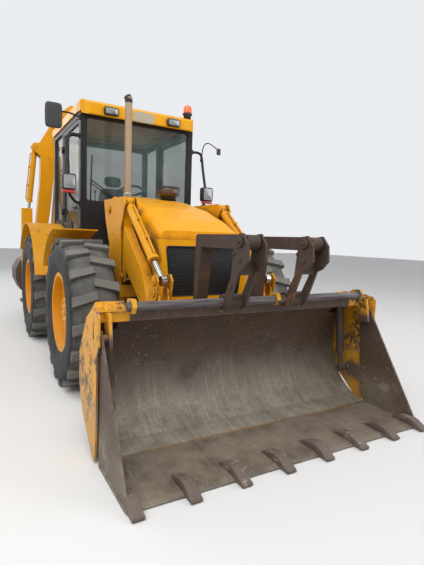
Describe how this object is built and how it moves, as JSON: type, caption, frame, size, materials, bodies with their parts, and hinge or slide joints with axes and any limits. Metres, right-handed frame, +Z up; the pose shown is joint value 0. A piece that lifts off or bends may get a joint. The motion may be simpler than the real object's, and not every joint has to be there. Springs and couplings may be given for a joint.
{
  "type": "backhoe loader",
  "caption": "Backhoe loader with equal wheels, clam loader bucket with flip-over forks, glazed cab, side-shift digging arm and stabiliser legs, with working joints.",
  "frame": {"origin": "on the ground, at the middle of the whole machine's length and width", "axes": "+Y to the rear (front faces -Y), +X to the machine's left, +Z up"},
  "size_m": [2.44, 6.144, 3.6],
  "materials": {
    "yellow_paint": "satin",
    "black_paint": "satin",
    "dark_steel": "matte",
    "worn_steel": "worn",
    "chrome_rod": "polished",
    "tyre_rubber": "matte",
    "window_glass": "clear",
    "seat_fabric": "matte",
    "black_plastic": "matte",
    "dark_plastic": "matte"
  },
  "bodies": {
    "machine": {"chassis_frame": "yellow_paint", "towers": "yellow_paint", "side_tanks": "yellow_paint", "drive_line": "dark_steel", "nose_panel": "yellow_paint", "grille": "black_plastic", "exhaust": "dark_steel", "fenders": "yellow_paint", "cab_frame": "black_paint", "cab_roof": "yellow_paint", "cab_glass": "window_glass", "cab_interior": "dark_plastic", "seat_pads": "seat_fabric", "lamps": "black_paint", "rear_frame": "yellow_paint"},
    "bonnet": {"hood": "yellow_paint"},
    "left_door": {"door_left": "black_paint", "door_glass_left": "window_glass"},
    "right_door": {"door_right": "black_paint", "door_glass_right": "window_glass"},
    "front_left_knuckle": {"knuckle_front_left": "dark_steel"},
    "front_right_knuckle": {"knuckle_front_right": "dark_steel"},
    "rear_left_knuckle": {"knuckle_rear_left": "dark_steel"},
    "rear_right_knuckle": {"knuckle_rear_right": "dark_steel"},
    "front_left_wheel": {"tyre_front_left": "tyre_rubber", "rim_front_left": "yellow_paint"},
    "front_right_wheel": {"tyre_front_right": "tyre_rubber", "rim_front_right": "yellow_paint"},
    "rear_left_wheel": {"tyre_rear_left": "tyre_rubber", "rim_rear_left": "yellow_paint"},
    "rear_right_wheel": {"tyre_rear_right": "tyre_rubber", "rim_rear_right": "yellow_paint"},
    "arms": {"loader_arms": "yellow_paint"},
    "lift_ram_barrels": {"lift_barrels": "yellow_paint"},
    "lift_ram_rods": {"lift_rods": "chrome_rod"},
    "tilt_ram_barrels": {"tilt_barrels": "yellow_paint"},
    "tilt_ram_rods": {"tilt_rods": "chrome_rod"},
    "levers": {"tipping_levers": "yellow_paint"},
    "links": {"tipping_links": "yellow_paint"},
    "loader_bucket": {"bucket_back": "yellow_paint"},
    "clam": {"bucket_clam": "worn_steel"},
    "clam_ram_barrels": {"clam_barrels": "yellow_paint"},
    "clam_ram_rods": {"clam_rods": "chrome_rod"},
    "fork_frames": {"fork_arms": "worn_steel"},
    "fork_blades": {"fork_tines": "worn_steel"},
    "side_shift": {"carriage": "yellow_paint"},
    "swing_post": {"kingpost": "yellow_paint"},
    "hoe_boom": {"boom": "yellow_paint"},
    "boom_ram_barrel": {"boom_barrel": "yellow_paint"},
    "boom_ram_rod": {"boom_rod": "chrome_rod"},
    "hoe_dipper": {"dipper": "yellow_paint"},
    "dipper_ram_barrel": {"dipper_barrel": "yellow_paint"},
    "dipper_ram_rod": {"dipper_rod": "chrome_rod"},
    "crowd_ram_barrel": {"crowd_barrel": "yellow_paint"},
    "crowd_ram_rod": {"crowd_rod": "chrome_rod"},
    "hoe_rocker": {"rocker": "yellow_paint"},
    "hoe_link": {"rocker_link": "yellow_paint"},
    "hoe_bucket": {"digging_bucket": "worn_steel"},
    "left_leg": {"leg_left": "dark_steel"},
    "right_leg": {"leg_right": "dark_steel"}
  },
  "joints": [
    {"name": "bonnet_hinge", "type": "hinge", "parent": "machine", "child": "bonnet", "pos_m": [0, 0.042, 1.9], "axis": [-1, 0, 0], "range_deg": [0, 35]},
    {"name": "left_door_hinge", "type": "hinge", "parent": "machine", "child": "left_door", "pos_m": [0.732, 1.142, 1.9], "axis": [0, 0, 1], "range_deg": [0, 80]},
    {"name": "right_door_hinge", "type": "hinge", "parent": "machine", "child": "right_door", "pos_m": [-0.732, 1.142, 1.9], "axis": [0, 0, -1], "range_deg": [0, 80]},
    {"name": "front_left_steer", "type": "hinge", "parent": "machine", "child": "front_left_knuckle", "pos_m": [0.77, -0.808, 0.7], "axis": [0, 0, 1], "range_deg": [-15, 15]},
    {"name": "front_left_wheel_spin", "type": "hinge", "parent": "front_left_knuckle", "child": "front_left_wheel", "pos_m": [0.95, -0.808, 0.7], "axis": [1, 0, 0], "continuous": true},
    {"name": "front_right_steer", "type": "hinge", "parent": "machine", "child": "front_right_knuckle", "pos_m": [-0.77, -0.808, 0.7], "axis": [0, 0, 1], "range_deg": [-15, 15]},
    {"name": "front_right_wheel_spin", "type": "hinge", "parent": "front_right_knuckle", "child": "front_right_wheel", "pos_m": [-0.95, -0.808, 0.7], "axis": [1, 0, 0], "continuous": true},
    {"name": "rear_left_steer", "type": "hinge", "parent": "machine", "child": "rear_left_knuckle", "pos_m": [0.77, 1.412, 0.7], "axis": [0, 0, 1], "range_deg": [-15, 15]},
    {"name": "rear_left_wheel_spin", "type": "hinge", "parent": "rear_left_knuckle", "child": "rear_left_wheel", "pos_m": [0.95, 1.412, 0.7], "axis": [1, 0, 0], "continuous": true},
    {"name": "rear_right_steer", "type": "hinge", "parent": "machine", "child": "rear_right_knuckle", "pos_m": [-0.77, 1.412, 0.7], "axis": [0, 0, 1], "range_deg": [-15, 15]},
    {"name": "rear_right_wheel_spin", "type": "hinge", "parent": "rear_right_knuckle", "child": "rear_right_wheel", "pos_m": [-0.95, 1.412, 0.7], "axis": [1, 0, 0], "continuous": true},
    {"name": "loader_lift", "type": "hinge", "parent": "machine", "child": "arms", "pos_m": [0, -0.588, 1.7], "axis": [-1, 0, 0], "range_deg": [0, 80]},
    {"name": "lift_ram_swing", "type": "hinge", "parent": "machine", "child": "lift_ram_barrels", "pos_m": [0, -0.108, 1.2], "axis": [-1, 0, 0], "range_deg": [0, 45]},
    {"name": "lift_ram_stroke", "type": "slide", "parent": "lift_ram_barrels", "child": "lift_ram_rods", "axis": [0, -0.9848, -0.1738], "range_m": [0, 0.62]},
    {"name": "tilt_ram_swing", "type": "hinge", "parent": "arms", "child": "tilt_ram_barrels", "pos_m": [0, -0.968, 1.76], "axis": [1, 0, 0], "range_deg": [-1.4, 8]},
    {"name": "tilt_ram_stroke", "type": "slide", "parent": "tilt_ram_barrels", "child": "tilt_ram_rods", "axis": [0, -0.7866, -0.6174], "range_m": [-0.09, 0.54]},
    {"name": "bucket_tilt", "type": "hinge", "parent": "arms", "child": "loader_bucket", "pos_m": [0, -1.828, 0.33], "axis": [1, 0, 0], "range_deg": [-15, 90]},
    {"name": "lever_swing", "type": "hinge", "parent": "arms", "child": "levers", "pos_m": [0, -1.658, 0.74], "axis": [1, 0, 0], "range_deg": [-15, 90]},
    {"name": "link_swing", "type": "hinge", "parent": "levers", "child": "links", "pos_m": [0, -1.808, 0.99], "axis": [1, 0, 0], "range_deg": [-90, 15]},
    {"name": "clam_opening", "type": "hinge", "parent": "loader_bucket", "child": "clam", "pos_m": [0, -2.438, 0.8], "axis": [1, 0, 0], "range_deg": [-75, 0]},
    {"name": "clam_ram_swing", "type": "hinge", "parent": "loader_bucket", "child": "clam_ram_barrels", "pos_m": [0, -2.208, 0.9], "axis": [1, 0, 0], "range_deg": [-55, 0]},
    {"name": "clam_ram_stroke", "type": "slide", "parent": "clam_ram_barrels", "child": "clam_ram_rods", "axis": [0, -0.0995, -0.995], "range_m": [0, 0.21]},
    {"name": "fork_flip", "type": "hinge", "parent": "loader_bucket", "child": "fork_frames", "pos_m": [0, -2.478, 1], "axis": [1, 0, 0], "range_deg": [0, 95]},
    {"name": "tine_fold", "type": "hinge", "parent": "fork_frames", "child": "fork_blades", "pos_m": [0, -2.678, 1.42], "axis": [1, 0, 0], "range_deg": [0, 165]},
    {"name": "side_shift_travel", "type": "slide", "parent": "machine", "child": "side_shift", "axis": [1, 0, 0], "range_m": [-0.27, 0.87]},
    {"name": "slew", "type": "hinge", "parent": "side_shift", "child": "swing_post", "pos_m": [-0.3, 2.772, 0.8], "axis": [0, 0, -1], "range_deg": [0, 180]},
    {"name": "boom_lift", "type": "hinge", "parent": "swing_post", "child": "hoe_boom", "pos_m": [-0.58, 2.772, 0.95], "axis": [0, -1, 0], "range_deg": [0, 67]},
    {"name": "boom_ram_swing", "type": "hinge", "parent": "swing_post", "child": "boom_ram_barrel", "pos_m": [-0.26, 2.772, 1.15], "axis": [0, -1, 0], "range_deg": [0, 74.5]},
    {"name": "boom_ram_stroke", "type": "slide", "parent": "boom_ram_barrel", "child": "boom_ram_rod", "axis": [0.0599, 0, 0.9982], "range_m": [0, 0.45]},
    {"name": "dipper_swing", "type": "hinge", "parent": "hoe_boom", "child": "hoe_dipper", "pos_m": [-0.5, 2.772, 3.38], "axis": [0, 1, 0], "range_deg": [0, 95]},
    {"name": "dipper_ram_swing", "type": "hinge", "parent": "hoe_boom", "child": "dipper_ram_barrel", "pos_m": [-0.22, 2.772, 2.42], "axis": [0, 1, 0], "range_deg": [-3, 0]},
    {"name": "dipper_ram_stroke", "type": "slide", "parent": "dipper_ram_barrel", "child": "dipper_ram_rod", "axis": [-0.0535, 0, 0.9986], "range_m": [-0.42, 0]},
    {"name": "digging_bucket_curl", "type": "hinge", "parent": "hoe_dipper", "child": "hoe_bucket", "pos_m": [-0.8, 2.772, 1.28], "axis": [0, 1, 0], "range_deg": [0, 85]},
    {"name": "rocker_swing", "type": "hinge", "parent": "hoe_dipper", "child": "hoe_rocker", "pos_m": [-0.79, 2.772, 1.55], "axis": [0, 1, 0], "range_deg": [0, 63]},
    {"name": "rocker_link_swing", "type": "hinge", "parent": "hoe_rocker", "child": "hoe_link", "pos_m": [-1.01, 2.772, 1.39], "axis": [0, 1, 0], "range_deg": [-65, 0]},
    {"name": "crowd_ram_swing", "type": "hinge", "parent": "hoe_dipper", "child": "crowd_ram_barrel", "pos_m": [-0.86, 2.772, 2.85], "axis": [0, 1, 0], "range_deg": [0, 4.5]},
    {"name": "crowd_ram_stroke", "type": "slide", "parent": "crowd_ram_barrel", "child": "crowd_ram_rod", "axis": [-0.1022, 0, -0.9948], "range_m": [-0.28, 0]},
    {"name": "left_leg_travel", "type": "slide", "parent": "machine", "child": "left_leg", "axis": [0, 0, -1], "range_m": [0, 0.45]},
    {"name": "right_leg_travel", "type": "slide", "parent": "machine", "child": "right_leg", "axis": [0, 0, -1], "range_m": [0, 0.45]}
  ],
  "couplings": [
    {"joint": "front_right_steer", "follows": "front_left_steer", "ratio": 1},
    {"joint": "rear_right_steer", "follows": "rear_left_steer", "ratio": 1},
    {"joint": "lift_ram_swing", "follows": "loader_lift", "ratio": 0.5332},
    {"joint": "lift_ram_stroke", "follows": "loader_lift", "m_per_rad": 0.4358},
    {"joint": "tilt_ram_swing", "follows": "bucket_tilt", "ratio": 0.0865},
    {"joint": "tilt_ram_stroke", "follows": "bucket_tilt", "m_per_rad": 0.3385},
    {"joint": "lever_swing", "follows": "bucket_tilt", "ratio": 1},
    {"joint": "link_swing", "follows": "bucket_tilt", "ratio": -1},
    {"joint": "clam_ram_swing", "follows": "clam_opening", "ratio": 0.7297},
    {"joint": "clam_ram_stroke", "follows": "clam_opening", "m_per_rad": -0.1551},
    {"joint": "boom_ram_swing", "follows": "boom_lift", "ratio": 0.9788},
    {"joint": "boom_ram_stroke", "follows": "boom_lift", "m_per_rad": 0.3368},
    {"joint": "dipper_ram_swing", "follows": "dipper_swing", "ratio": -0.0211},
    {"joint": "dipper_ram_stroke", "follows": "dipper_swing", "m_per_rad": -0.2478},
    {"joint": "rocker_swing", "follows": "digging_bucket_curl", "ratio": 0.6948},
    {"joint": "rocker_link_swing", "follows": "digging_bucket_curl", "ratio": -0.7156},
    {"joint": "crowd_ram_swing", "follows": "digging_bucket_curl", "ratio": 0.0439},
    {"joint": "crowd_ram_stroke", "follows": "digging_bucket_curl", "m_per_rad": -0.1719}
  ]
}
